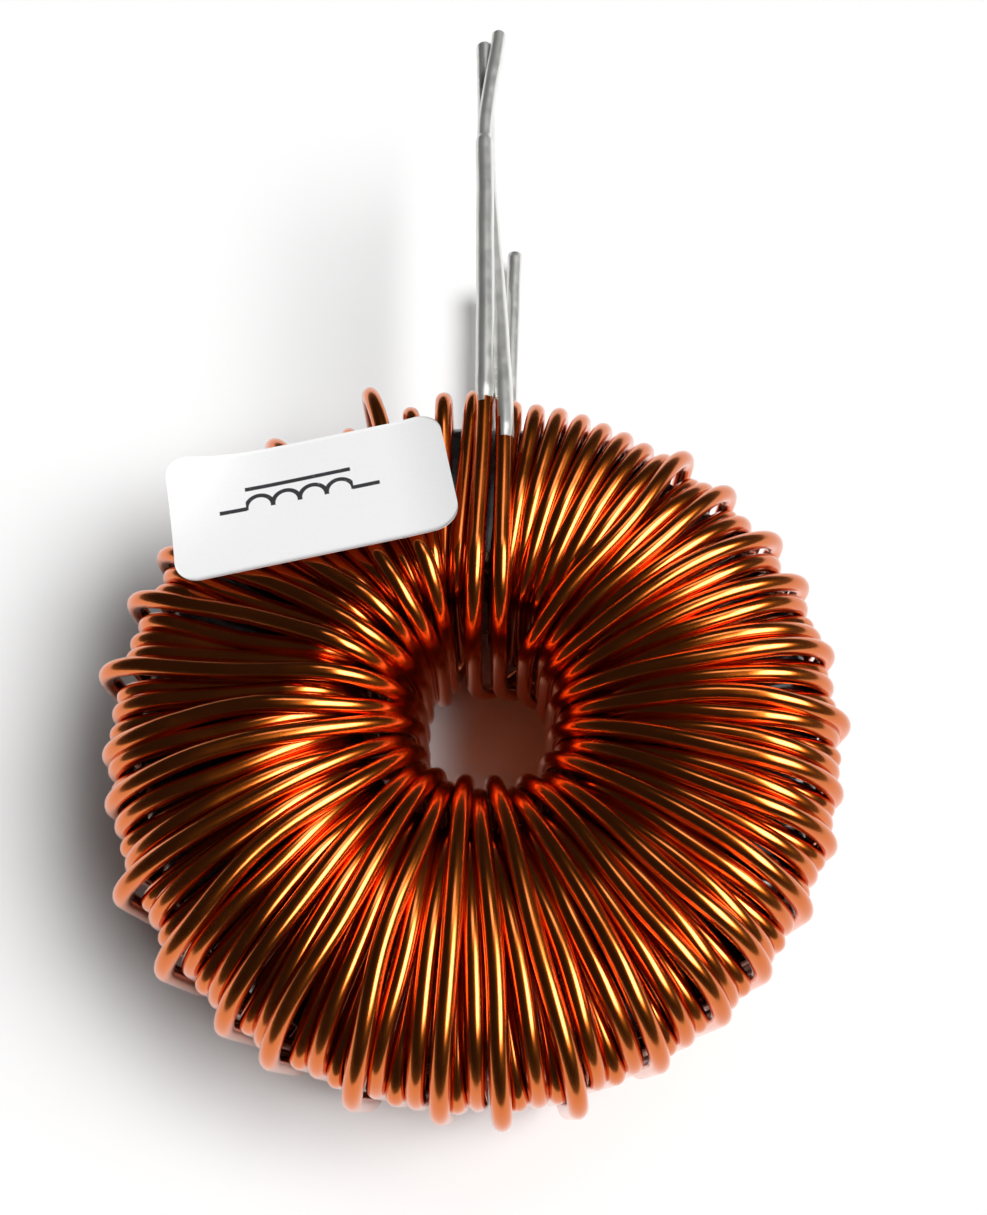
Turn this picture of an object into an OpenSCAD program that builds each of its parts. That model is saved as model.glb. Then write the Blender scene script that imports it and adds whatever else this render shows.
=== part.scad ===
// Toroidal inductor: a coated powder ring wound with two enamelled copper wires side by side.
// The axis is Z and the lowest wires rest on Z = 0. The leads point along +Y.
// Each wire comes in under the ring, climbs the hole and winds a close base layer all round,
// then winds back over it as an open upper layer and leaves over the top of the ring.

/* [Core] */
// Outer diameter of the coated ring
core_od = 58; // [50:0.2:68]
// Diameter of the hole in the coated ring
core_id = 25.6; // [22:0.2:32]
// Height of the coated ring
core_h = 16; // [10:0.5:26]
// Rounding of the ring's edges
core_edge = 2.2; // [1:0.1:3.4]

/* [Wire] */
// Diameter over the enamel
wire_d = 1.4; // [1.1:0.05:1.7]
// Air between neighbouring wires
wire_gap = 0.08; // [0.04:0.02:0.2]

/* [Winding] */
// Angle left bare for the leads, in degrees
lead_gap = 14; // [12:1:24]
// Angle where the upper layer starts, in degrees
upper_from = 106; // [104:1:130]
// Angle where the upper layer ends, in degrees
upper_to = 418; // [360:1:420]

/* [Leads] */
// Length of the finish leads beyond the winding
finish_lead = 45; // [15:1:70]
// Length of the start leads beyond the winding
start_lead = 34; // [15:1:60]

/* [Label] */
// Length of the paper label
label_l = 24; // [12:0.5:30]
// Width of the paper label
label_w = 12.5; // [6:0.5:16]
// Thickness of the paper label
label_t = 0.15; // [0.1:0.05:0.4]
// Rounding of the label's corners
label_corner = 2.2; // [0.5:0.1:2.8]
// Drop of the label's curled end
label_curl = 0.9; // [0:0.1:1.2]

/* [Hidden] */
$fn = 96;

// Wire spacing, and where the wires lie against the ring
pitch = wire_d + wire_gap;
seat = pitch/2;
hole_r = core_id/2 - seat;
rim_r = core_od/2 + seat;
face_z = core_h/2 + seat;
bend_r = core_edge + seat;
wire_sides = 6;
facet_share = 1.03;
base_steps = 2;
upper_steps = 3;

// Base layer: as many turns as the hole takes in two staggered rows, one row for each strand
row_pitch_share = 1.02;
bare_turn = 360 - lead_gap;
base_turns = floor(bare_turn*PI/180*(hole_r - pitch)/(pitch*row_pitch_share));
slot_angle = bare_turn/(2*base_turns);
second_row = sqrt(pitch*pitch - pow((hole_r - wire_d)*sin(slot_angle), 2));
second_level_share = 1.3;
second_level = second_row*second_level_share;
rim_level_shares = [0.4, 0.6];
hand_over_shares = [1, 1.4];
base_proud_share = 0.08;
hand_over_angles = [-5.9, -9.6];

// Upper layer: fewer turns in pairs, lying along the base wires and bulging loosely into the hole
upper_rise_share = 1.08;
upper_rim_shares = [1.15, 1.55];
upper_z = face_z + second_level + pitch*upper_rise_share;
upper_flat_share = 1.3;
upper_flat_r = hole_r + pitch*upper_flat_share;
upper_bend_share = 0.76;
upper_bend = upper_z*upper_bend_share;
inner_shares = [2.62, 2];
inner_uneven_share = 0.12;
inner_swing_share = 0.45;
inner_peak = 185;
inner_r = hole_r - second_row - pitch*(inner_shares[0] + inner_shares[1])/2;
upper_turn = upper_to - upper_from;
upper_pitch_share = 1.85;
upper_turns = floor(upper_turn*PI/180*inner_r/(pitch*upper_pitch_share));
upper_angle = upper_turn/(2*upper_turns);
upper_uneven_angle = 0.6;
pair_share = 1;
slant_mean = 3;
slant_swing = 3.2;
slant_peak = 215;
proud_share = 0.3;
proud_pair_share = 0.3;
proud_wire_share = 0.12;
lift_share = 0.21;

// Leads: sideways places in wire pitches, places along the lead as shares of its length
finish_in_share = 3.06;
finish_y = hole_r - second_row - pitch*finish_in_share;
finish_x_shares = [-0.27, 1.35];
lead_rim = rim_r + pitch;
finish_shares = [
    [[0.6, -0.06, 0], [0.75, 0.47, 0], [0.95, 0.72, 0], [2, 1, 0]],
    [[1.95, -0.1, 0], [1.5, 0.25, -0.95], [0.92, 0.56, -1.1], [0.88, 0.78, -1.06], [0.88, 0.98, -0.5]]
];
start_shares = [[2.45, 0.86], [4.3, 1]];

// Label: a sheet laid on the upper layer's wires and leaning outwards with them
label_angle = 128;
label_turn = 9;
label_r_share = 0.757;
label_flat_share = 0.8;
label_r = lead_rim*label_r_share;
label_clear = wire_gap;
label_steps = 8;
label_high = upper_z + 2*wire_d*lift_share + wire_d/2 + label_clear;
label_low = face_z + pitch*upper_rim_shares[0] + wire_d/2 + label_clear;
proud_most = wire_d*(proud_share + 2*proud_pair_share + 2*proud_wire_share);
label_low_r = rim_r + proud_most - (bend_r + proud_most)*(1 - tan(45/base_steps));
label_slope = (label_high - label_low)/(label_low_r - upper_flat_r);

mid_z = upper_z + wire_d/2;

// Repeatable unevenness from -1 to 1 for wire n, different for each kind
golden_angle = 137.5;
kind_angle = 53;
function uneven(n, kind) = sin(golden_angle*n*n + kind_angle*n*kind + 90*kind);

function unit(v) = v/norm(v);
function polar(r, a) = [r*cos(a), r*sin(a), 0];
function up(z) = [0, 0, z];
function reversed(list) = [for (i = [len(list) - 1 : -1 : 0]) list[i]];

// Angles of the wires in the hole, and the slant from there to the rim
function base_angle(slot) = 90 - lead_gap/2 - (slot + 0.5)*slot_angle;
function upper_place(turn, strand) =
    let (place = 2*turn + 1 + (0.5 - strand)*pair_share)
    upper_from + place*upper_angle + upper_uneven_angle*uneven(turn, 2 + strand);
function slanted(a) = a + slant_mean + slant_swing*cos(a - slant_peak);

// At the rim each upper wire drops into the base layer, beside the outer row's wire that it ran above
function upper_seat(turn, strand) =
    let (slots = (base_angle(0) + 360 - upper_place(turn, strand))/slot_angle)
    let (under = 2*round(slots/2))
    slots < under ? under - 1 : under;
upper_seats = [for (turn = [0 : upper_turns - 1], strand = [0, 1]) upper_seat(turn, strand)];
function upper_before(slot) = len([for (seat = upper_seats) if (seat < slot) seat]);

// The base wires there move aside, so that all the wires lie in one even row
crowd_first = min(upper_seats);
crowd_last = max(upper_seats) + 1;
crowd_top = base_angle(crowd_first);
crowd_step = (crowd_top - base_angle(crowd_last))/(crowd_last - crowd_first + len(upper_seats));
function crowd_angle(rank) = crowd_top - crowd_step*rank;
function base_rim_angle(slot) =
    let (rank = slot - crowd_first + upper_before(slot))
    slanted(slot <= crowd_first || slot >= crowd_last ? base_angle(slot) : crowd_angle(rank));
function upper_rim_angle(seat) = slanted(crowd_angle(seat + 1 - crowd_first + upper_before(seat)));

// One end of a run: its place in plan, the level of the run there, the rise and reach of its bend, and the
// number of corners that round the bend
function bend_end(place, level, rise, reach, steps) = [place, level, rise, reach, steps];

// An end at the rim, standing proud of the ring and higher than a wire that lies on its face
function rim_end(place, proud, higher) =
    bend_end(place, face_z + higher, bend_r + higher, bend_r + proud, base_steps);

// A pass of a strand: its end in the hole, its ends at the rim above and below, and the lift of its top run
function base_pass(turn, strand) =
    let (slot = 2*turn + strand)
    let (last = turn == base_turns - 1)
    let (deeper = strand*second_row)
    let (level = strand*second_level)
    let (higher = pitch*(last ? hand_over_shares : strand*rim_level_shares))
    let (proud = last ? pitch : wire_d*base_proud_share*(1 + uneven(slot, 1)))
    let (rim_a = last ? base_angle(slot) + hand_over_angles[strand] : base_rim_angle(slot))
    let (place = polar(hole_r - deeper, base_angle(slot)))
    let (rim = polar(rim_r + proud, rim_a))
    [
        bend_end(place, face_z + level, bend_r + level, bend_r + deeper, base_steps),
        rim_end(rim, proud, higher[0]),
        rim_end(rim, proud, higher[1]),
        0
    ];

function upper_pass(turn, strand) =
    let (slot = 2*turn + 1 - strand)
    let (a = upper_place(turn, strand))
    let (swing = inner_swing_share*cos(a - inner_peak))
    let (inner = inner_shares[strand] + inner_uneven_share*uneven(slot, 3) + swing)
    let (place = polar(hole_r - second_row - pitch*inner, a))
    let (pair_proud = proud_pair_share*(1 + uneven(turn, 5)))
    let (proud = wire_d*(proud_share + pair_proud + proud_wire_share*(1 + uneven(slot, 7))))
    let (rim = polar(rim_r + proud, upper_rim_angle(upper_seat(turn, strand))))
    [
        bend_end(place, upper_z, upper_bend, upper_flat_r - norm(place), upper_steps),
        rim_end(rim, proud, pitch*upper_rim_shares[0]),
        rim_end(rim, proud, pitch*upper_rim_shares[1]),
        wire_d*lift_share*(1 + uneven(slot, 6))
    ];

function finish_pass(strand) =
    let (place = [finish_x_shares[strand]*pitch, finish_y, 0])
    [bend_end(place, upper_z, upper_bend, upper_flat_r - norm(place), upper_steps)];

function passes(strand) = concat(
    [for (turn = [0 : base_turns - 1]) base_pass(turn, strand)],
    [for (turn = [0 : upper_turns - 1]) upper_pass(turn, strand)],
    [finish_pass(strand)]
);

// Corners round the quarter ellipse from the upright part of a wire to its run along a face
function bend_points(end, along, side, lift) =
    let (stretch = 1/cos(45/end[4]))
    [
        for (k = [0 : end[4] - 1])
            let (a = (k + 0.5)*90/end[4])
            let (drop = (end[2] + lift)*(1 - stretch*sin(a)))
            end[0] + along*end[3]*(1 - stretch*cos(a)) + up(side*(end[1] + lift - drop))
    ];

// A run over one face of the ring, from the hole to the rim
function run(hole, rim, side, lift) =
    let (along = unit(rim[0] - hole[0]))
    concat(bend_points(hole, along, side, lift), reversed(bend_points(rim, -along, side, 0)));

function start_points(strand) =
    let (hole = base_pass(0, strand)[0])
    let (tip = [start_shares[strand].x*pitch, lead_rim + start_lead*start_shares[strand].y, 0])
    concat([tip - up(hole[1])], reversed(bend_points(hole, unit(tip - hole[0]), -1, 0)));

function finish_points(strand) =
    let (hole = finish_pass(strand)[0])
    let (places = [for (s = finish_shares[strand]) [s.x*pitch, lead_rim + finish_lead*s.y, s.z*pitch]])
    let (along = unit([places[0].x, places[0].y, 0] - hole[0]))
    concat(bend_points(hole, along, 1, 0), [for (p = places) p + up(upper_z)]);

// The whole strand from tip to tip
function strand_points(strand) =
    let (all = passes(strand))
    concat(
        start_points(strand),
        [for (i = [0 : len(all) - 2]) each concat(
            run(all[i][0], all[i][1], 1, all[i][3]),
            reversed(run(all[i + 1][0], all[i][2], -1, 0))
        )],
        finish_points(strand)
    );

// A ring of corners round point i of a path, in the plane that halves the bend there
function wire_ring(points, i) =
    let (into = unit(points[max(i, 1)] - points[max(i, 1) - 1]))
    let (out = unit(points[min(i + 1, len(points) - 1)] - points[min(i + 1, len(points) - 1) - 1]))
    let (along = unit(into + out))
    let (round_axis = unit([-points[i].y, points[i].x, 0]))
    let (across = unit(round_axis - (round_axis*along)*along))
    let (outward = cross(along, across)/(along*into))
    let (r = wire_d/2*facet_share)
    let (corner_angles = [for (k = [0 : wire_sides - 1]) k*360/wire_sides])
    [for (a = corner_angles) points[i] + r*(cos(a)*across + sin(a)*outward)];

// A closed skin over a row of rings that have the same number of corners
module skin(rings) {
    sides = len(rings[0]);
    last = (len(rings) - 1)*sides;
    walls = [
        for (i = [0 : len(rings) - 2], k = [0 : sides - 1])
            let (a = i*sides + k)
            let (b = i*sides + (k + 1)%sides)
            each [[a, b + sides, b], [a, a + sides, b + sides]]
    ];
    start_cap = [[for (k = [0 : sides - 1]) k]];
    end_cap = [[for (k = [sides - 1 : -1 : 0]) last + k]];
    polyhedron([for (ring = rings) each ring], concat(walls, start_cap, end_cap));
}

module strand(number) {
    points = strand_points(number);
    translate([0, 0, mid_z])
        skin([for (i = [0 : len(points) - 1]) wire_ring(points, i)]);
}

module core() {
    color([0.05, 0.05, 0.055])
        translate([0, 0, mid_z])
            rotate_extrude()
                translate([core_id/2, -core_h/2])
                    core_section((core_od - core_id)/2);
}

// Section of the ring: a rectangle with round corners
module core_section(wide) {
    translate([core_edge, 0])
        square([wide - 2*core_edge, core_h]);
    translate([0, core_edge])
        square([wide, core_h - 2*core_edge]);
    for (x = [core_edge, wide - core_edge], y = [core_edge, core_h - core_edge])
        translate([x, y])
            circle(core_edge);
}

module winding_strand_a() {
    color([0.72, 0.33, 0.1])
        strand(0);
}

module winding_strand_b() {
    color([0.66, 0.29, 0.09])
        strand(1);
}

// Height of the paper's underside: the plane that rests on the upper layer's top runs
function label_z(p) =
    let (out = p.x*cos(label_angle) + p.y*sin(label_angle))
    label_high - label_slope*(out - upper_flat_r);

// Half width of the label at a place along it
function label_half(x) =
    let (past = max(0, abs(x) - (label_l/2 - label_corner)))
    label_w/2 - label_corner + sqrt(label_corner*label_corner - past*past);

// How far the curled end has come down at a place along the label
function label_drop(x) =
    let (flat_l = label_l*(label_flat_share - 0.5))
    label_curl*pow(max(0, x - flat_l)/(label_l/2 - flat_l), 2);

function label_point(x, y, over) =
    let (along = polar(1, label_turn))
    let (across = polar(1, label_turn + 90))
    let (p = polar(label_r, label_angle) + x*along + y*across)
    p + up(label_z(p) - label_drop(x) + over);

// The four corners of a cut across the label
function label_ring(x) =
    let (half = label_half(x))
    [
        label_point(x, -half, 0),
        label_point(x, half, 0),
        label_point(x, half, label_t),
        label_point(x, -half, label_t)
    ];

module label() {
    ends = [for (k = [0 : label_steps]) label_corner*(1 - cos(k*90/label_steps))];
    inner = label_l - 2*label_corner;
    middle = [for (k = [1 : label_steps - 1]) label_corner + inner*k/label_steps];
    places = concat(ends, middle, [for (e = reversed(ends)) label_l - e]);
    color([0.93, 0.93, 0.94])
        translate([0, 0, mid_z])
            skin([for (e = places) label_ring(e - label_l/2)]);
}

core();
winding_strand_a();
winding_strand_b();
label();
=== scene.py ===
import bpy
import numpy as np
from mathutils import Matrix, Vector


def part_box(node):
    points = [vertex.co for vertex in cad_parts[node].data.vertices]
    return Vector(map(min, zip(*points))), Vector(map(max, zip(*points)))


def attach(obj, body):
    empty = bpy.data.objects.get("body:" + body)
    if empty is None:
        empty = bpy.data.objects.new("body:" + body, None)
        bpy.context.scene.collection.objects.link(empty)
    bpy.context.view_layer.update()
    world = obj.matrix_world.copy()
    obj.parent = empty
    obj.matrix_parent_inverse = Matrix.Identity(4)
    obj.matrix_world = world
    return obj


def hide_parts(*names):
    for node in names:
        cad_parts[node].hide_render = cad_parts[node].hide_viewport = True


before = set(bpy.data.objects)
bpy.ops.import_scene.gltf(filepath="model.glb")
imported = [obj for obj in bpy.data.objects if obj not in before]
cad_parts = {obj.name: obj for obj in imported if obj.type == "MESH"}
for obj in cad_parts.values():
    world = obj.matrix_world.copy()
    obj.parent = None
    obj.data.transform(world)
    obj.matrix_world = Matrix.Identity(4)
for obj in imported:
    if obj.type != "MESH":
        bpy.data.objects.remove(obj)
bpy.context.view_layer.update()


# The core is a ring of pressed metal powder with rounded edges, dipped in black epoxy.
# The winding hides nearly all of it, so it shows as a glossy black floor in the gaps between wires.

core_outer, core_inner, core_height, core_edge = 0.058, 0.0256, 0.016, 0.0022
core_around, core_corner = 160, 8
core_middle = (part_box("core")[0].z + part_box("core")[1].z)/2


def sheet_of_quads(rows, columns, close_rows=False, close_columns=False):
    """Corner numbers of the quads between neighbouring points of a grid stored row by row;
    a closed direction also joins its last line of points to its first."""
    r = np.arange(rows if close_rows else rows - 1)
    c = np.arange(columns if close_columns else columns - 1)
    r, c = np.meshgrid(r, c, indexing="ij")
    r2, c2 = (r + 1) % rows, (c + 1) % columns
    corners = [r*columns + c, r*columns + c2, r2*columns + c2, r2*columns + c]
    return np.stack(corners, -1).reshape(-1, 4)


def piece_from(name, points, quads, caps=()):
    """An object at the origin whose mesh has these points, smooth quads and extra flat, many-sided caps."""
    mesh = bpy.data.meshes.new(name)
    mesh.from_pydata(points.reshape(-1, 3).tolist(), [], quads.tolist() + [list(c) for c in caps])
    mesh.polygons.foreach_set("use_smooth", np.arange(len(mesh.polygons)) < len(quads))
    mesh.update()
    piece = bpy.data.objects.new(name, mesh)
    bpy.context.scene.collection.objects.link(piece)
    return piece


def rounded_ring(inner_r, outer_r, height, edge, middle, around, corner):
    """A rectangle with quarter-round corners, its outline as (radius, height), turned about Z:
    x = radius cos(turn), y = radius sin(turn)."""
    quarter = np.linspace(0, np.pi/2, corner)
    centres = np.array([[outer_r - edge, height/2 - edge], [inner_r + edge, height/2 - edge],
                        [inner_r + edge, edge - height/2], [outer_r - edge, edge - height/2]])
    turn = quarter[None, :] + np.arange(4)[:, None]*np.pi/2
    outline = centres[:, None] + edge*np.stack([np.cos(turn), np.sin(turn)], -1)
    outline = outline.reshape(-1, 2)
    sweep = np.linspace(0, 2*np.pi, around, endpoint=False)[:, None]
    radius, level = outline[:, 0][None], outline[:, 1][None]
    return np.stack([radius*np.cos(sweep), radius*np.sin(sweep), middle + level + 0*sweep], -1)


def finish_named(name):
    """A new material, its nodes, its links and its shader. The nodes and links last taken from here are
    those that new_node and filled work in."""
    finish = bpy.data.materials.new(name)
    finish.use_nodes = True
    tree = finish.node_tree
    return finish, tree.nodes, tree.links, tree.nodes["Principled BSDF"]


def filled(node, inputs):
    """A node after each input, by name or number, took a number, a colour or another node's output."""
    for name, value in inputs.items():
        if isinstance(value, (int, float, tuple)):
            node.inputs[name].default_value = value
        else:
            links.new(value, node.inputs[name])
    return node


def new_node(kind, inputs=None, **choices):
    """A new node of this kind, with its choices made and its inputs filled."""
    node = nodes.new("ShaderNode" + kind)
    for name, choice in choices.items():
        setattr(node, name, choice)
    return filled(node, inputs or {})


def ranged(value, low, high, to_low, to_high, step="LINEAR"):
    """A value from low to high, mapped to the range from to_low to to_high by a straight line or another
    step, and held at its ends."""
    ends = {"Value": value, "From Min": low, "From Max": high, "To Min": to_low, "To Max": to_high}
    return new_node("MapRange", ends, interpolation_type=step).outputs["Result"]


core_grid = rounded_ring(core_inner/2, core_outer/2, core_height, core_edge, core_middle,
                         core_around, core_corner)
core = piece_from("core_coated_ring", core_grid, sheet_of_quads(core_around, 4*core_corner, True, True))

epoxy, nodes, links, shader = finish_named("black_epoxy")
place = new_node("TexCoord").outputs["Object"]
orange_peel = new_node("TexNoise", {"Vector": place, "Scale": 900, "Detail": 3}).outputs["Fac"]
pimples = new_node("Bump", {"Height": orange_peel, "Strength": 0.35, "Distance": 0.00008})
filled(shader, {"Base Color": (0.004, 0.004, 0.005, 1), "Coat Weight": 0.6, "Coat Roughness": 0.08,
                "Roughness": ranged(orange_peel, 0.3, 0.7, 0.16, 0.34), "Normal": pimples.outputs["Normal"]})
core.data.materials.append(epoxy)
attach(core, "root")
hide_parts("core")


# The winding is two strands of enamelled copper wire wound side by side by hand. A close base layer
# goes all the way round, then an open upper layer comes back over it in its grooves. The strands start
# under the ring and finish over its top, and their last lengths are stripped and tinned.

wire_d, wire_air = 0.0014, 0.00008
pitch = wire_d + wire_air
drawn_r = wire_d*0.575
wire_sides = 16
seat = pitch/2
hole_r, rim_r = core_inner/2 - seat, core_outer/2 + seat
face_z = core_height/2 + seat
bend_r = core_edge + seat

# Base layer: an even row in the hole, with a gap for the leads, every second wire on top of its neighbours.
lead_gap = 14
base_room = 1.02
bare_turn = 360 - lead_gap
base_turns = int(np.radians(bare_turn)*(hole_r - pitch)/(pitch*base_room))
slot_angle = bare_turn/(2*base_turns)
second_row = np.sqrt(pitch**2 - ((hole_r - wire_d)*np.sin(np.radians(slot_angle)))**2)
second_level = second_row*1.3

# Upper layer: from angle to angle in degrees, lying over the base wires. The shares are in pitches: how far
# each strand hangs into the hole, and how far it clears the faces above and below at the rim.
upper_from, upper_to = 106, 418
upper_room, place_stray = 1.85, 0.6
inner_shares = (2.62, 2)
rim_above, rim_below = 1.15, 1.55
upper_z = face_z + second_level + pitch*1.08
upper_flat_r = hole_r + pitch*1.3
upper_bend = upper_z*0.76
inner_r = hole_r - second_row - pitch*sum(inner_shares)/2
upper_turn = upper_to - upper_from
upper_turns = int(np.radians(upper_turn)*inner_r/(pitch*upper_room))
upper_angle = upper_turn/(2*upper_turns)


def uneven(n, kind):
    """Repeatable unevenness from -1 to 1 of wire n: the sine of a turn that grows with n squared."""
    return np.sin(np.radians(137.5*n*n + 53*n*kind + 90*kind))


def swing(angle, most_at):
    """From 1 at one angle in degrees to -1 opposite it: the cosine of the angle between."""
    return np.cos(np.radians(angle - most_at))


def turned_from(angle, middle):
    """The turn in degrees from a middle angle to another, between -180 and 180."""
    return (angle - middle + 180) % 360 - 180


def round_the_axis(r, angle):
    """Points at radius r and this angle in degrees, in the ring's middle plane."""
    a = np.radians(angle)
    return np.stack([r*np.cos(a), r*np.sin(a), 0*a], -1)


def base_angle(slot):
    """The angle of a base wire in the hole: even steps clockwise, from beside the leads round to them."""
    return 90 - lead_gap/2 - (slot + 0.5)*slot_angle


def upper_place(strand):
    """The angles of a strand's upper turns in the hole: pairs at an even pitch, each a bit out of place."""
    turn = np.arange(upper_turns)
    return upper_from + (2*turn + 1.5 - strand)*upper_angle + place_stray*uneven(turn, 2 + strand)


def upper_seat(strand):
    """The base wires behind which a strand's upper turns drop in at the rim: each lies beside the nearest
    outer-row wire, on the side that its place in the hole is nearer to."""
    slots = (base_angle(0) + 360 - upper_place(strand))/slot_angle
    under = 2*np.round(slots/2)
    return np.where(slots < under, under - 1, under)


# At the rim both layers crowd into one row of even steps, from the first to the last seat of an upper wire.
upper_seats = np.concatenate([upper_seat(0), upper_seat(1)])
crowd_first, crowd_last = upper_seats.min(), upper_seats.max() + 1
crowd_top = base_angle(crowd_first)
crowd_step = (crowd_top - base_angle(crowd_last))/(crowd_last - crowd_first + len(upper_seats))


def upper_before(slot):
    """How many upper wires lie ahead of a base wire at the rim."""
    return (upper_seats[None] < np.asarray(slot)[:, None]).sum(1)


# Round the ring, angles in degrees: the wires' slant, how far the loops stand off the rim, how wires beside
# the leads are drawn to them, and where the label holds the wires flat.
slant_mean, slant_swing, slant_most_at = 3, 3.2, 215
bulge_mean, bulge_swing, bulge_most_at = 0.0006, 0.0004, 200
drawn_most, drawn_at, drawn_width = 10, 106, 9
held_at, held_half, held_fade = 130, 36, 22


def slanted(angle):
    """The angle at the rim that the slant leads to from this angle; the slant swings round the ring."""
    return angle + slant_mean + slant_swing*swing(angle, slant_most_at)


def bulge(angle):
    """How far the loops stand off the rim: most on the left, least on the right, as a cosine of the angle."""
    return bulge_mean + bulge_swing*swing(angle, bulge_most_at)


def drawn_in(angle):
    """Degrees by which the wires between label and leads are drawn towards the leads: a bell of the angle."""
    return drawn_most*np.exp(-(turned_from(angle, drawn_at)/drawn_width)**2)


def clear_of_label(angle):
    """From 0 under the label to 1 well away from it: a smooth step in the angle from its middle."""
    s = np.clip((np.abs(turned_from(angle, held_at)) - held_half)/held_fade, 0, 1)
    return s*s*(3 - 2*s)


# Above, the outer base row and the upper layer swell into one dome, whose crest lies between two radii.
# The inner base row fills in below it.
dome_from, dome_to = 0.0208, 0.0222
row_z = face_z + second_level + 0.0012
filler_z = face_z + 0.0006
upper_rise = 0.0075

# Base wires at the rim: looseness in wire widths, clearance of the faces in pitches, and the degrees by which
# each strand's last turn leans over.
base_loose = 0.08
base_above, base_below, last_below = 0.4, 0.6, 1.4
hand_over = (-8.9, -10.2)

# Upper wires: looseness at the rim and lift on top in wire widths, single loops further off the rim, also
# behind the label, and how far they hang into the hole beyond their strand's share, in pitches.
upper_loose, pair_loose, wire_loose, lift_share = 0.3, 0.3, 0.12, 0.21
stray_most, rim_stray = 0.0004, 0.7
back_loop, back_turn = 0.00018, 7
hang_uneven, hang_swing, hang_most_at = 0.12, 0.45, 185
hang_mean, hang_quarters = 0.12, 0.45


def base_layer(strand):
    """A strand's base turns, as passes_of gives them: clockwise steps, strand a next to the core in the hole
    and strand b in the second row. The last turn leans over beside the leads and hands over to the upper
    layer."""
    slot = 2*np.arange(base_turns) + strand
    last = slot >= 2*(base_turns - 1)
    alone = (slot <= crowd_first) | (slot >= crowd_last)
    crowded = crowd_top - crowd_step*(slot - crowd_first + upper_before(slot))
    angle = base_angle(slot)
    rim_angle = np.where(last, angle + hand_over[strand], slanted(np.where(alone, angle, crowded)))
    rim_angle = rim_angle - drawn_in(rim_angle)*~last
    proud = np.where(last, pitch, wire_d*base_loose*(1 + uneven(slot, 1)) + bulge(angle))
    above = np.where(last, pitch, pitch*strand*base_above)
    below = np.where(last, pitch*last_below, pitch*strand*base_below)
    deeper, level, same = strand*second_row, strand*second_level, np.ones(base_turns)
    hole = round_the_axis((hole_r - deeper)*same, angle)
    rim = round_the_axis(rim_r + proud, rim_angle)
    in_hole = np.stack([(face_z + level)*same, (bend_r + level)*same, (bend_r + deeper)*same])
    under = np.concatenate([in_hole, [face_z + below, bend_r + below, bend_r + proud]])
    flat = np.concatenate([in_hole, [face_z + above, bend_r + above, bend_r + proud]])
    in_row = (strand == 1) | (slot < crowd_first)
    top = np.where(in_row, row_z, filler_z)
    rise = top - core_height/2 + core_edge
    reach = np.where(in_row, dome_from - hole_r, bend_r) + deeper
    domed = np.stack([top, rise, reach, top, rise, rim_r + proud - dome_to])
    over = flat + (domed - flat)*(1 - last)*clear_of_label(angle)
    return hole, rim, over, under, in_row & ~last


def upper_layer(strand):
    """A strand's upper turns, as passes_of gives them: steps back over the base layer, hanging loosely into
    the hole, furthest on one side and at every quarter of the ring. Some loops stand well off the rim."""
    turn = np.arange(upper_turns)
    slot = 2*turn + 1 - strand
    angle, seats, same = upper_place(strand), upper_seat(strand), np.ones(upper_turns)
    hang = inner_shares[strand] + hang_uneven*uneven(slot, 3) + hang_swing*swing(angle, hang_most_at)
    hang = hang + hang_mean + hang_quarters*swing(2*angle, 0)**2
    inner = hole_r - second_row - pitch*hang
    loose = upper_loose + pair_loose*(1 + uneven(turn, 5)) + wire_loose*(1 + uneven(slot, 7))
    proud = wire_d*loose + bulge(angle)
    proud = proud + stray_most*np.clip(uneven(turn, 5)*2 - 1, 0, 1) + back_loop*drawn_in(angle - back_turn)
    rim_angle = slanted(crowd_top - crowd_step*(seats + 1 - crowd_first + upper_before(seats)))
    rim_angle = rim_angle - drawn_in(rim_angle) + rim_stray*uneven(slot, 4)
    above, below = pitch*rim_above*same, pitch*rim_below*same
    lift = wire_d*lift_share*(1 + uneven(slot, 6))
    top, reach = upper_z + lift, upper_flat_r - inner
    hole = round_the_axis(inner, angle)
    rim = round_the_axis(rim_r + proud, rim_angle)
    under = np.stack([upper_z*same, upper_bend*same, reach, face_z + below, bend_r + below, bend_r + proud])
    flat = np.stack([top, upper_bend + lift, reach, face_z + above, bend_r + above, bend_r + proud])
    domed = np.stack([top, upper_rise + lift, dome_from - inner,
                      top, top - core_height/2 + core_edge, rim_r + proud - dome_to])
    over = flat + (domed - flat)*clear_of_label(angle)
    return hole, rim, over, under, same > 0


def passes_of(strand):
    """Every turn of a strand, base layer first: its places in the hole and at the rim, its bends above and
    below as six rows (level, rise and reach of the bend in the hole, then of the one at the rim), and
    whether it lies in the dome's row."""
    base, upper = base_layer(strand), upper_layer(strand)
    return [np.concatenate(both, axis) for both, axis in zip(zip(base, upper), (0, 0, 1, 1, 0))]


def bend(place, along, level, rise, reach, side, count, power=1):
    """A quarter ellipse for each turn, from the upright part of the wire to its run along a face: out along
    the run by reach (1 - cos q), and up (side 1) or down (side -1) to its level by rise sin q. A power
    below 1 on the sine and cosine makes its shoulder squarer."""
    q = np.linspace(0, np.pi/2, count)[None, :, None]
    level, rise, reach, power = (np.reshape(x, (-1, 1, 1)) for x in (level, rise, reach, power))
    height = side*(level - rise*(1 - np.sin(q)**power))
    return place[:, None] + along[:, None]*reach*(1 - np.cos(q)**power) + height*np.array([0, 0, 1])


bend_points = 17
square_most, square_width = 0.35, 32


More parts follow.
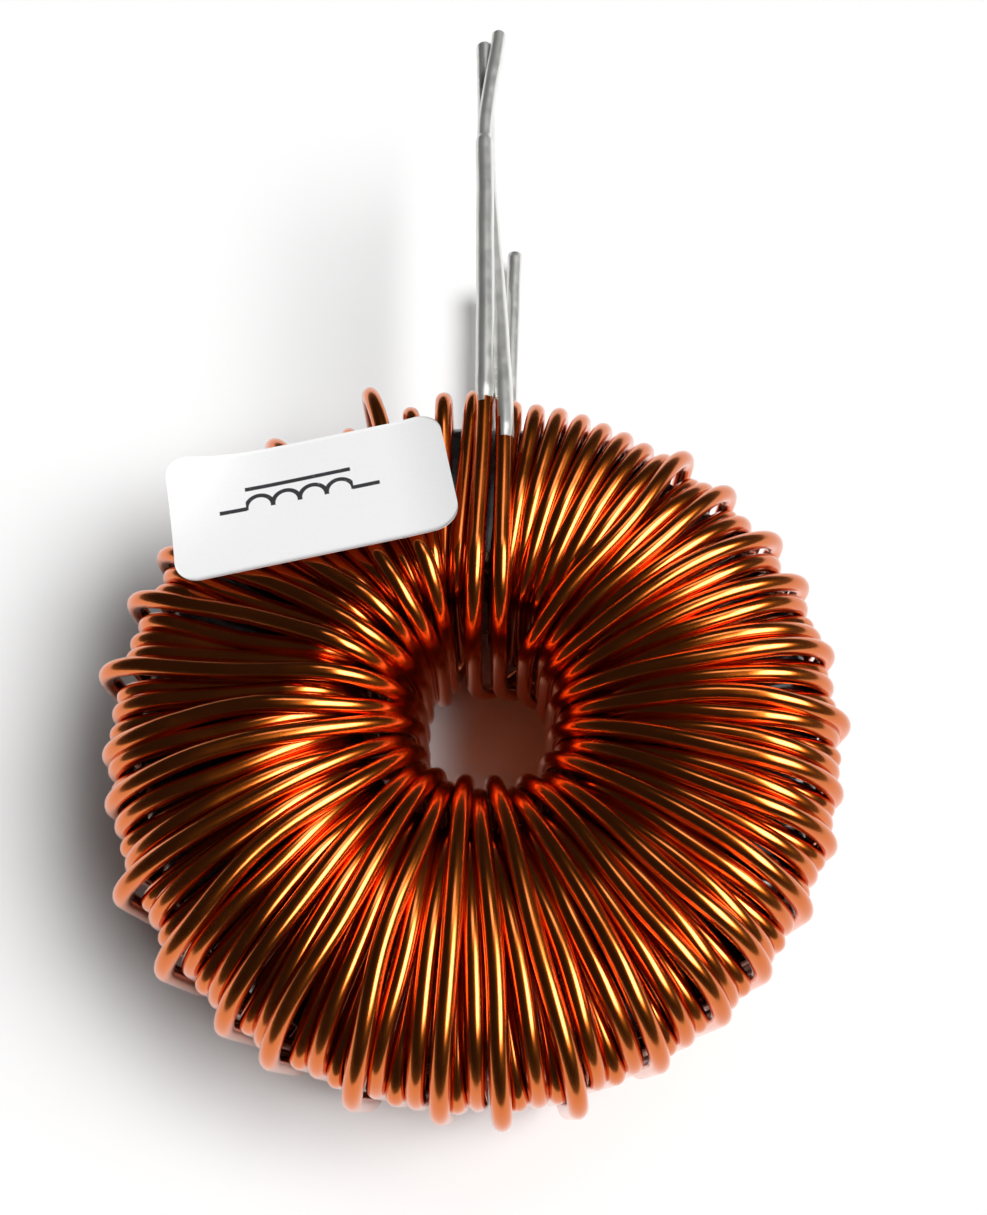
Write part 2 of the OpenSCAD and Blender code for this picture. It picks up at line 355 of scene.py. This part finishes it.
def run_over_face(hole, rim, bends, side):
    """One run of wire for each turn, from the hole to the rim over the top (side 1) or bottom (side -1):
    a quarter ellipse out of the hole, a straight slope, and a quarter ellipse down the rim, which is
    squarer at the back, by a bell of the angle from there."""
    along = (rim - hole)/np.linalg.norm(rim - hole, axis=-1, keepdims=True)
    out_of_hole = bend(hole, along, *bends[:3], side, bend_points)
    from_back = np.degrees(np.arctan2(rim[:, 0], rim[:, 1]))
    power = 1 - square_most*np.exp(-(from_back/square_width)**2)
    down_the_rim = bend(rim, -along, *bends[3:], side, bend_points, power)[:, ::-1]
    s = np.array([0.25, 0.5, 0.75])[None, :, None]
    slope = out_of_hole[:, -1:]*(1 - s) + down_the_rim[:, :1]*s
    return np.concatenate([out_of_hole, slope, down_the_rim], 1)


passes = [passes_of(0), passes_of(1)]
row_from, row_r, row_order = 0.009, 0.0195, 7


def half_way(hole, rim):
    """How far clockwise from the leads, in degrees, the straight line from hole to rim crosses radius row_r:
    the larger root of the quadratic for the crossing's share of the way."""
    way = rim - hole
    a, b, c = (way*way).sum(1), (way*hole).sum(1), (hole*hole).sum(1) - row_r**2
    cross = hole + way*((np.sqrt(b*b - a*c) - b)/a)[:, None]
    return (90 - np.degrees(np.arctan2(cross[:, 1], cross[:, 0]))) % 360


row_turns = np.sort(np.concatenate([half_way(hole, rim)[in_row] for hole, rim, _, _, in_row in passes]))
row_rank = np.linspace(-1, 1, len(row_turns))
row_even = np.polyval(np.polyfit(row_rank, row_turns, row_order), row_rank)


def settled(run, hole, rim, in_row):
    """Top runs pushed sideways until the row's wires lie evenly side by side: each is turned about the axis
    by its wire's way to an even place, times the squared sine of the way out from the hole to the rim. The
    even places are a smooth curve through the row's crossings, a polynomial in their rank."""
    turn = half_way(hole, rim)
    aside = np.radians(turn - np.interp(turn, row_turns, row_even))*in_row
    x, y, z = run[..., 0], run[..., 1], run[..., 2]
    a = aside[:, None]*np.sin(np.pi*np.clip((np.hypot(x, y) - row_from)/(rim_r - row_from), 0, 1))**2
    return np.stack([x*np.cos(a) - y*np.sin(a), x*np.sin(a) + y*np.cos(a), z], -1)


def smooth_through(points, step):
    """A Catmull-Rom curve through a few points: each stretch is the cubic whose end slopes are half the
    distance between the neighbours on either side."""
    ends = np.concatenate([[2*points[0] - points[1]], points, [2*points[-1] - points[-2]]])
    a, b, c, d = ends[:-3], ends[1:-2], ends[2:-1], ends[3:]
    count = int(np.ceil(np.linalg.norm(c - b, axis=1).max()/step))
    t = np.linspace(0, 1, count, endpoint=False)[None, :, None]
    a, b, c, d = (x[:, None] for x in (a, b, c, d))
    curve = b + 0.5*t*((c - a) + t*((2*a - 5*b + 4*c - d) + t*(3*(b - c) + d - a)))
    return np.concatenate([curve.reshape(-1, 3), points[-1:]])


# Leads: the points that each passes, across and up in pitches, and outwards as shares of the lead's length.
lead_rim = rim_r + pitch
finish_lead, start_lead = 0.045, 0.034
finish_y = hole_r - second_row - pitch*3.06
finish_x = (-0.27*pitch, 1.35*pitch)
finish_shares = (((1.0, -0.06, 0), (1.6, 0.47, 0), (1.9, 0.72, 0), (3.2, 1, 0)),
                 ((2.15, -0.1, 0), (2.1, 0.25, -0.95), (1.86, 0.56, -1.1), (1.98, 0.78, -1.06),
                  (2.1, 0.98, -0.5)))
start_shares = ((2.45, 0.86), (4.3, 1))
lead_points, start_step, finish_step = 13, 0.0006, 0.0002


def strand_line(strand):
    """The centre line of a strand from tip to tip: start lead, then a top run and a reversed bottom run
    for each turn, then the finish lead, all lifted to the ring's middle height. With it comes, for each
    point, -1 in the start lead, 1 in the finish lead and 0 in the turns."""
    hole, rim, over, under, in_row = passes[strand]
    end = np.array([finish_x[strand], finish_y, 0])
    end_bend = np.array([upper_z, upper_bend, upper_flat_r - np.linalg.norm(end)])
    next_hole = np.concatenate([hole[1:], end[None]])
    next_bend = np.concatenate([under[:3, 1:], end_bend[:, None]], 1)
    top = settled(run_over_face(hole, rim, over, 1), hole, rim, in_row)
    back = run_over_face(next_hole, rim, np.concatenate([next_bend, under[3:]]), -1)
    turns = np.concatenate([top, back[:, ::-1]], 1).reshape(-1, 3)
    level = under[0, 0]
    tip = np.array([start_shares[strand][0]*pitch, lead_rim + start_lead*start_shares[strand][1], 0])
    along = (tip - hole[:1])/np.linalg.norm(tip - hole[0])
    start = bend(hole[:1], along, *under[:3, :1], -1, lead_points)[0, ::-1]
    straight = smooth_through(np.array([tip - [0, 0, level], start[0]]), start_step)
    start = np.concatenate([straight[:-1], start])
    stops = np.array(finish_shares[strand])
    stops = np.stack([stops[:, 0]*pitch, lead_rim + finish_lead*stops[:, 1], stops[:, 2]*pitch + upper_z], -1)
    along = (stops[0] - end)*[1, 1, 0]
    along = along/np.linalg.norm(along)
    leave = bend(end[None], along[None], *end_bend, 1, lead_points)[0]
    finish = np.concatenate([leave[:-1], smooth_through(np.concatenate([leave[-1:], stops]), finish_step)])
    part = np.repeat([-1, 0, 1], [len(start), len(turns), len(finish)])
    return np.concatenate([start, turns, finish]) + [0, 0, core_middle], part


def wire_along(line, radius, sides):
    """A circle carried along a line: at each point it lies across the line, its first corner towards the
    direction round the ring's axis, so the skin doesn't twist. radius may change along the line."""
    ahead = np.gradient(line, axis=0)
    ahead = ahead/np.linalg.norm(ahead, axis=1, keepdims=True)
    round_axis = np.stack([-line[:, 1], line[:, 0], 0*line[:, 0]], -1)
    across = round_axis - (round_axis*ahead).sum(1, keepdims=True)*ahead
    across = across/np.linalg.norm(across, axis=1, keepdims=True)
    outward = np.cross(ahead, across)
    k = np.linspace(0, 2*np.pi, sides, endpoint=False)[None, :, None]
    return line[:, None] + radius[..., None]*(np.cos(k)*across[:, None] + np.sin(k)*outward[:, None])


# Tinned ends: where along Y the enamel stops on each lead, the tongue of enamel that runs on along strand b,
# and the thinner last length of strand a. The turns have no bare wire, so theirs stops out of reach.
start_tin, finish_tin, out_of_reach = 0.0278, (0.0283, 0.0239), 1
tongue = (0, 0.0038)
tin_thickness, tin_slope = 0.12, 0.0012
thinner_from, thinner_slope, thinner_by = 0.0605, 0.0006, (0.16, 0)


def past_enamel(line, part, strand, around):
    """How far each point of a strand's skin lies past the end of the enamel, along Y. The end is ragged by
    two sines round the wire, and the tongue lies where the cosine round it is high."""
    enamel_end = np.choose(part + 1, (start_tin, out_of_reach, finish_tin[strand]))[:, None]
    enamel_end = enamel_end + tongue[strand]*np.clip(np.cos(around)*1.6 - 0.5, 0, 1)*(part > 0)[:, None]
    ragged = 0.00035*np.sin(3*around + 1.3) + 0.00022*np.sin(5*around + 0.4)
    return line[:, 1:2] - enamel_end - ragged


def skin_radius(y, bare, strand, around):
    """The wire's radius: on the bare ends it grows by the tin's thickness over a short slope, with lumps that
    are sines along the wire and round it."""
    lumps = 0.010*np.sin(y*900 + 2*around) + 0.014*np.sin(y*430 + around)
    thinner = thinner_by[strand]*np.clip((y - thinner_from)/thinner_slope, 0, 1)
    return drawn_r*(1 + np.clip(bare/tin_slope, 0, 1)*(tin_thickness + lumps - thinner))


winding = []
for strand, letter in enumerate("ab"):
    line, part = strand_line(strand)
    around = np.linspace(0, 2*np.pi, wire_sides, endpoint=False)[None]
    bare = past_enamel(line, part, strand, around)
    skin = wire_along(line, skin_radius(line[:, 1:2], bare, strand, around), wire_sides)
    quads = sheet_of_quads(len(line), wire_sides, close_columns=True)[:, ::-1]
    last_ring = (len(line) - 1)*wire_sides
    caps = (range(wire_sides), range(last_ring + wire_sides - 1, last_ring - 1, -1))
    piece = piece_from("winding_strand_%s_wire" % letter, skin, quads, caps)
    tinned = np.append(bare[:-1] + bare[1:] > 0, [True, True])
    piece.data.polygons.foreach_set("material_index", tinned.astype(np.int32))
    length = np.append(0, np.cumsum(np.linalg.norm(np.diff(line, axis=0), axis=1)))
    uv = piece.data.uv_layers.new(name="along_wire")
    corner = np.zeros(len(piece.data.loops), np.int32)
    piece.data.loops.foreach_get("vertex_index", corner)
    along_wire = np.stack([(corner % wire_sides)/wire_sides, length[corner//wire_sides]], -1)
    uv.data.foreach_set("uv", along_wire.astype(np.float32).ravel())
    winding.append(piece)

enamel, nodes, links, shader = finish_named("amber_enamel_on_copper")
place = new_node("TexCoord").outputs["Object"]
cloud = new_node("TexNoise", {"Vector": place, "Scale": 260, "Detail": 4}).outputs["Fac"]
filled(shader, {"Base Color": (0.72, 0.16, 0.015, 1), "Metallic": 1,
                "Roughness": ranged(cloud, 0.3, 0.7, 0.17, 0.25), "Coat Weight": 0.7,
                "Coat Roughness": 0.09, "Coat IOR": 1.5})

tin, nodes, links, shader = finish_named("tinned_copper")
place = new_node("TexCoord").outputs["Object"]
grain = new_node("TexNoise", {"Vector": place, "Scale": 600, "Detail": 4}).outputs["Fac"]
dents = new_node("Bump", {"Height": grain, "Strength": 0.05, "Distance": 0.00003})
filled(shader, {"Base Color": (0.86, 0.86, 0.83, 1), "Metallic": 0.8,
                "Roughness": ranged(grain, 0.35, 0.65, 0.28, 0.40), "Normal": dents.outputs["Normal"]})

for piece, letter in zip(winding, "ab"):
    piece.data.materials.append(enamel)
    piece.data.materials.append(tin)
    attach(piece, "root")
    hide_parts("winding_strand_" + letter)


# The label is a slip of white paper with rounded corners, stuck across the upper layer's wires beside
# the leads, with a coil's circuit sign printed on it. Its outer end stands out over the rim, where one
# corner has lifted, and its inner end has let go and curls up a little.

label_l, label_w, label_t, label_corner = 0.0248, 0.0127, 0.00015, 0.0022
label_curl, label_lift, label_shift = 0.0005, 0.0022, 0.0004
label_angle, label_turn = np.radians(128), np.radians(9)
label_r = lead_rim*0.757
label_rows, label_columns = 81, 33
label_high = upper_z + 2*wire_d*lift_share + wire_d/2 + wire_air
label_low = face_z + pitch*rim_above + wire_d/2 + wire_air
proud_most = wire_d*(upper_loose + 2*pair_loose + 2*wire_loose)
label_low_r = rim_r + proud_most - (bend_r + proud_most)*(1 - np.tan(np.pi/8))
label_slope = (label_high - label_low)/(label_low_r - upper_flat_r)


def paper_slip(along, across):
    """The slip's lower surface at a share of its length and width, and its flat place on the paper: a
    rectangle with round corners, turned on the winding, its height falling outwards with the wires. The
    inner end curls up with the square of the way along it, and the outer end's far corner lifts with the
    cube."""
    x = along*label_l/2
    past = np.clip(np.abs(x) - (label_l/2 - label_corner), 0, None)
    half = label_w/2 - label_corner + np.sqrt(np.clip(label_corner**2 - past**2, 0, None))
    y = across*half
    px = label_r*np.cos(label_angle) + (x + label_shift)*np.cos(label_turn) - y*np.sin(label_turn)
    py = label_r*np.sin(label_angle) + (x + label_shift)*np.sin(label_turn) + y*np.cos(label_turn)
    out = px*np.cos(label_angle) + py*np.sin(label_angle)
    curl = label_curl*(np.clip(x - 0.3*label_l, 0, None)/(0.2*label_l))**2
    lift = label_lift*np.clip(-along, 0, 1)**3*(0.5 + y/label_w)**2
    height = core_middle + label_high - label_slope*(out - upper_flat_r) + curl + lift
    return np.stack([px, py, height], -1), np.stack([x, y], -1)


share_along, share_across = np.meshgrid(np.sin(np.linspace(-np.pi/2, np.pi/2, label_rows)),
                                        np.linspace(-1, 1, label_columns), indexing="ij")
below, flat_place = paper_slip(share_along, share_across)
below = below.reshape(-1, 3)
quads = sheet_of_quads(label_rows, label_columns)
number = np.arange(len(below)).reshape(label_rows, label_columns)
border = np.concatenate([number[0], number[1:, -1], number[-1, -2::-1], number[-2:0:-1, 0]])
following = np.roll(border, -1)
edge_quads = np.stack([border, following, following + len(below), border + len(below)], -1)
label = piece_from("label_slip", np.concatenate([below, below + [0, 0, label_t]]),
                   np.concatenate([quads, quads[:, ::-1] + len(below), edge_quads]))
uv = label.data.uv_layers.new(name="on_paper")
corner = np.zeros(len(label.data.loops), np.int32)
label.data.loops.foreach_get("vertex_index", corner)
in_millimetres = 1000*flat_place.reshape(-1, 2)
uv.data.foreach_set("uv", in_millimetres[corner % len(below)].astype(np.float32).ravel())


def worked_out(operation, first, second=0):
    """The output of a new maths node on two values, each a number or another node's output."""
    return new_node("Math", {0: first, 1: second}, operation=operation).outputs["Value"]


def product(first, *others):
    """The output of maths nodes that multiply two or more values."""
    for other in others:
        first = worked_out("MULTIPLY", first, other)
    return first


def eased(value, low, high, to_low, to_high):
    """A smooth step of a value from to_low at low to to_high at high."""
    return ranged(value, low, high, to_low, to_high, "SMOOTHSTEP")


def stroke(value, middle=0):
    """Ink from 1 to 0 across the edge of a printed line, by how far a value in millimetres is from the
    line's middle."""
    return eased(worked_out("ABSOLUTE", worked_out("SUBTRACT", value, middle)), 0.17, 0.25, 1, 0)


# The sign, in millimetres on the paper: four half rings in a row, a straight end on either side, and a bar
# above. It is printed a little to the left of the middle.
sign_left, hump_r, humps_end, line_end, bar_y = 1.0, 1.2, 4.8, 7.2, 2.1

paper, nodes, links, shader = finish_named("white_paper")
on_paper = new_node("UVMap", uv_map="on_paper").outputs["UV"]
split = new_node("SeparateXYZ", {"Vector": on_paper})
x, y = worked_out("ADD", split.outputs["X"], sign_left), split.outputs["Y"]
away = worked_out("ABSOLUTE", x)
from_hump = worked_out("SUBTRACT", worked_out("FLOORED_MODULO", x, 2*hump_r), hump_r)
from_centre = worked_out("SQRT", worked_out("ADD", product(from_hump, from_hump), product(y, y)))
humps = product(stroke(from_centre, hump_r), eased(y, -0.2, -0.1, 0, 1),
                eased(away, humps_end - 0.03, humps_end + 0.03, 1, 0))
ends = product(stroke(y), eased(away, humps_end - 0.2, humps_end, 0, 1),
               eased(away, line_end - 0.1, line_end, 1, 0))
bar = product(stroke(y, bar_y), eased(away, humps_end - 0.1, humps_end, 1, 0))
sign = worked_out("MAXIMUM", worked_out("MAXIMUM", humps, ends), bar)
fibres = new_node("TexNoise", {"Vector": on_paper, "Scale": 3.0, "Detail": 6}).outputs["Fac"]
ink = product(sign, eased(fibres, 0.25, 0.4, 0.75, 1))
sheet = new_node("Mix", {"Factor": fibres, "A": (0.93, 0.93, 0.93, 1), "B": (0.99, 0.99, 0.99, 1)},
                 data_type="RGBA").outputs["Result"]
printed = new_node("Mix", {"Factor": ink, "A": sheet, "B": (0.03, 0.03, 0.035, 1)}, data_type="RGBA")
tooth = new_node("Bump", {"Height": fibres, "Strength": 0.15, "Distance": 0.00003})
filled(shader, {"Base Color": printed.outputs["Result"], "Roughness": 0.7, "Normal": tooth.outputs["Normal"]})
label.data.materials.append(paper)
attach(label, "root")
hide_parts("label")


# The part lies on a white table, under a large soft window of light to the right and a small one at the
# back, and is seen from close above. The table's own colour makes the white ground and takes the shadow.

table_half, table_air = 1.5, 0.00001
table_z = wire_d/2 - drawn_r - table_air
table_corners = np.array([[-1, -1, 0], [1, -1, 0], [1, 1, 0], [-1, 1, 0]])*table_half + [0, 0, table_z]
table = piece_from("table", table_corners, np.array([[0, 1, 2, 3]]))
white_top, nodes, links, shader = finish_named("white_table")
nodes.remove(shader)
ray = new_node("LightPath").outputs
seen = worked_out("MAXIMUM", ray["Is Camera Ray"], ray["Is Glossy Ray"])
seen = worked_out("MAXIMUM", seen, ray["Is Transmission Ray"])
white = new_node("Mix", {"Factor": seen, "A": (0.8, 0.8, 0.8, 1), "B": (1, 1, 1, 1)}, data_type="RGBA")
matt = new_node("BsdfDiffuse", {"Color": white.outputs["Result"]})
filled(nodes["Material Output"], {"Surface": matt.outputs["BSDF"]})
table.data.materials.append(white_top)

room = bpy.data.worlds.new("room")
bpy.context.scene.world = room
room.use_nodes = True
nodes, links = room.node_tree.nodes, room.node_tree.links
way = new_node("SeparateXYZ", {"Vector": new_node("TexCoord").outputs["Generated"]}).outputs
overhead = worked_out("MAXIMUM", way["Z"], 0.02)
sideways = worked_out("DIVIDE", way["X"], overhead)
forwards = worked_out("DIVIDE", way["Y"], overhead)


def window(left, right, front, back, radiance):
    """A soft-edged window of light overhead. Each edge is a pair: where its smooth step starts and ends, as
    the tangent of the angle from straight up."""
    return product(eased(sideways, *left, 0, 1), eased(sideways, *right, 1, 0),
                   eased(forwards, *front, 0, 1), eased(forwards, *back, 1, 0), radiance)


right_window = window((0.33, 0.58), (0.9, 1.6), (-0.9, -0.38), (0.05, 0.4), 13.0)
back_window = window((-0.1, 0.15), (0.35, 0.55), (0.2, 0.4), (0.45, 0.7), 3.0)
walls = eased(way["Z"], 0.0, 0.45, 0.10, 0.025)
glow = worked_out("ADD", worked_out("ADD", right_window, back_window), walls)
filled(nodes["Background"], {"Color": (1, 1, 1, 1), "Strength": glow})

camera_place, camera_aim = Vector((0, -0.0318, 0.1106)), Vector((0.0017, 0.0128, 0.0127))
camera = bpy.data.cameras.new("camera")
camera.lens = 33.2
camera.clip_start = 0.005
eye = bpy.data.objects.new("camera", camera)
eye.location = camera_place
eye.rotation_euler = (camera_aim - camera_place).to_track_quat("-Z", "Y").to_euler()
bpy.context.scene.collection.objects.link(eye)
bpy.context.scene.camera = eye
bpy.context.scene.view_settings.view_transform = "Standard"
